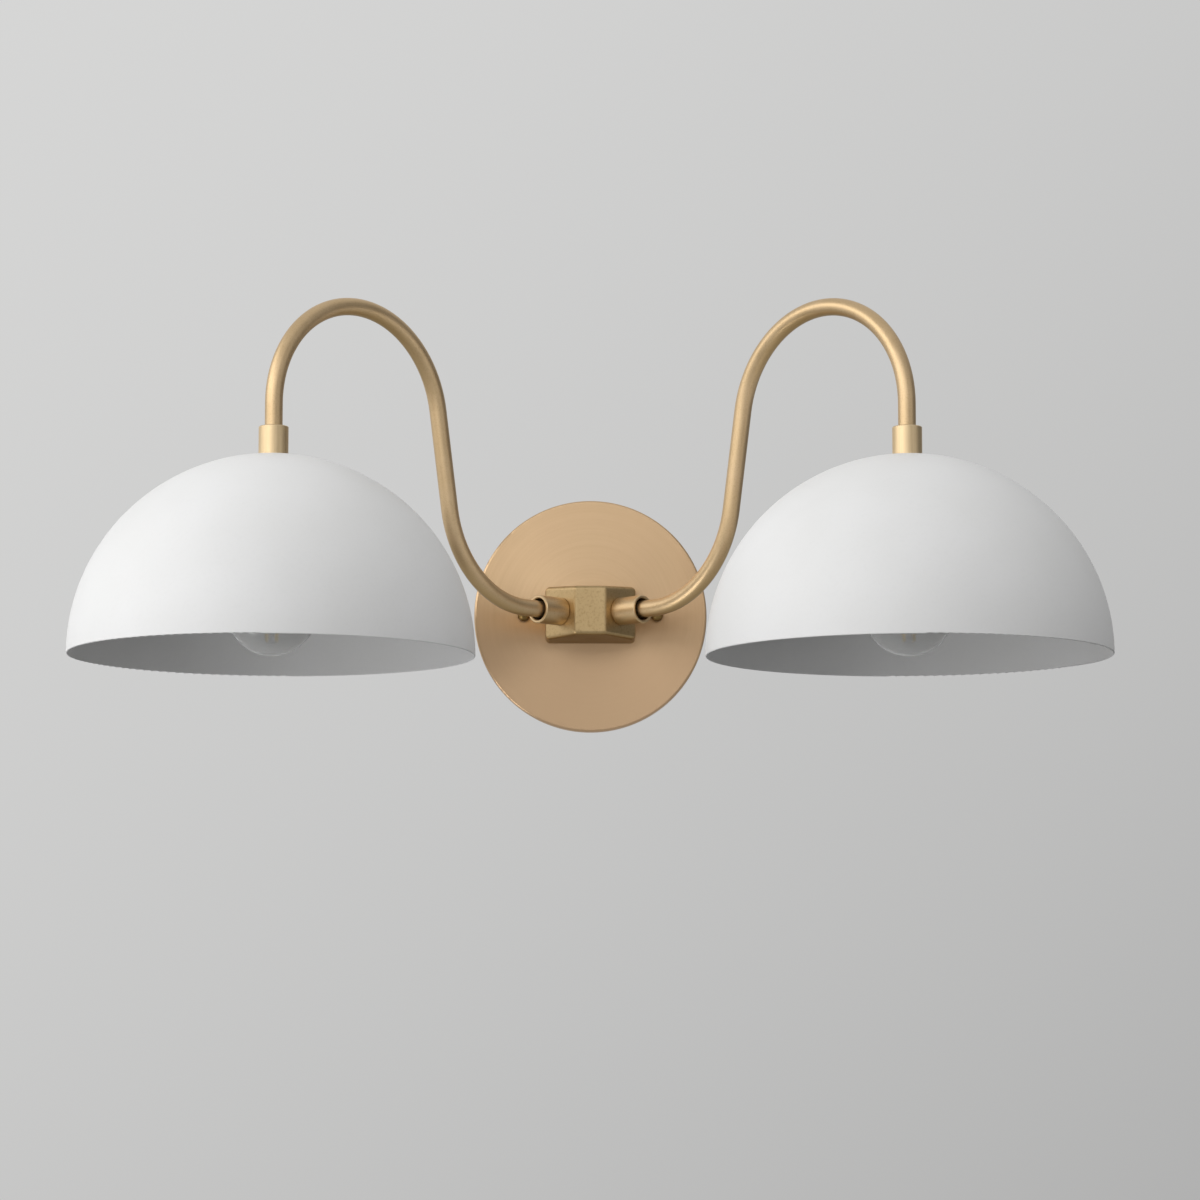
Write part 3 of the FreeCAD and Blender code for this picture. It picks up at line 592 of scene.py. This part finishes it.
FLOOR_Z = -2.5
FLOOR_R = 14.0
FLOOR_AROUND = 96
FLOOR_SEEN = (0.74, 0.74, 0.735)
FLOOR_SEEN_DRIFT = 1.04
FLOOR_CAST = (0.18, 0.18, 0.18)

BRIGHT_WAY = (-0.64, 0.20, 0.77)
BRIGHTEST = (0.69, 0.69, 0.685)
DIMMEST = (0.15, 0.15, 0.15)
FADE_FROM = -0.5
FADE_TO = 0.6

LAMP_AIM = (-0.15, -0.12, 0.0)

CAMERA_PLACE = (0.0, -2.2773, -0.2652)
CAMERA_LEVEL = 90.0
CAMERA_PITCH = 6.89
CAMERA_YAW = -0.139
CAMERA_LENS = 119.53
CAMERA_SENSOR = 36.0
CAMERA_REACH = 60.0


def floor():
    """A plain floor, well below the sconce: pale where seen, dark where it would light the sconce."""
    f = Finish("floor")
    ray = f.node("LightPath").outputs
    seen = f.calc("MAXIMUM", ray["Is Camera Ray"], ray["Is Glossy Ray"])
    seen = f.calc("MAXIMUM", seen, ray["Is Transmission Ray"])
    pale = f.mixed(f.noise(scale=1.5), FLOOR_SEEN, tuple(c * FLOOR_SEEN_DRIFT for c in FLOOR_SEEN))
    f.set(Base_Color=f.mixed(seen, FLOOR_CAST, pale), Roughness=0.8)
    shape = bmesh.new()
    bmesh.ops.create_circle(shape, cap_ends=True, radius=FLOOR_R, segments=FLOOR_AROUND)
    made = shown("floor", shape)
    made.data.materials.append(f.material)
    made.location.z = FLOOR_Z


def surroundings():
    """A soft studio: brightest high on the left and a little behind, dimmest the opposite way."""
    world = bpy.data.worlds.new("studio")
    world.use_nodes = True
    nodes = world.node_tree.nodes
    links = world.node_tree.links
    way = nodes.new("ShaderNodeVectorMath")
    way.operation = "DOT_PRODUCT"
    links.new(nodes.new("ShaderNodeTexCoord").outputs["Generated"], way.inputs[0])
    way.inputs[1].default_value = Vector(BRIGHT_WAY).normalized()
    share = nodes.new("ShaderNodeMapRange")
    share.interpolation_type = "SMOOTHSTEP"
    share.inputs["From Min"].default_value = FADE_FROM
    share.inputs["From Max"].default_value = FADE_TO
    links.new(way.outputs["Value"], share.inputs["Value"])
    tone = nodes.new("ShaderNodeMix")
    tone.data_type = "RGBA"
    links.new(share.outputs["Result"], tone.inputs[MIX_SHARE])
    tone.inputs[MIX_A].default_value = (*DIMMEST, 1.0)
    tone.inputs[MIX_B].default_value = (*BRIGHTEST, 1.0)
    links.new(tone.outputs[MIX_RESULT], nodes["Background"].inputs["Color"])
    bpy.context.scene.world = world


def softbox(name, place, width, height, power):
    """A flat soft lamp aimed at the sconce."""
    data = bpy.data.lights.new(name, "AREA")
    data.shape = "RECTANGLE"
    data.size = width
    data.size_y = height
    data.energy = power
    lamp = bpy.data.objects.new(name, data)
    lamp.visible_camera = False
    lamp.location = place
    aim = Vector(LAMP_AIM) - Vector(place)
    lamp.rotation_euler = aim.to_track_quat("-Z", "Y").to_euler()
    bpy.context.scene.collection.objects.link(lamp)


def camera():
    """Below the sconce and square to the wall, looking slightly up."""
    data = bpy.data.cameras.new("camera")
    data.lens = CAMERA_LENS
    data.sensor_width = CAMERA_SENSOR
    data.clip_end = CAMERA_REACH
    made = bpy.data.objects.new("camera", data)
    made.location = CAMERA_PLACE
    made.rotation_euler = (math.radians(CAMERA_LEVEL + CAMERA_PITCH), 0.0, math.radians(CAMERA_YAW))
    bpy.context.scene.collection.objects.link(made)
    bpy.context.scene.camera = made


floor()
surroundings()
softbox("key", (-1.35, -0.5, 0.75), width=1.3, height=1.0, power=4.9)
softbox("side", (-1.05, -1.45, 0.55), width=1.1, height=1.0, power=3.2)
softbox("window", (-2.3, -0.5, 0.35), width=3.0, height=2.0, power=3.4)
softbox("front", (-0.35, -1.9, 0.8), width=2.0, height=0.75, power=5.0)
softbox("ahead", (-0.3, -3.0, -0.1), width=3.0, height=1.2, power=6.4)
softbox("low", (-1.15, -0.6, -0.95), width=0.7, height=0.7, power=5.2)
softbox("fill", (1.8, -1.5, 0.3), width=2.0, height=2.0, power=5.2)
camera()
bpy.context.scene.view_settings.view_transform = "Standard"
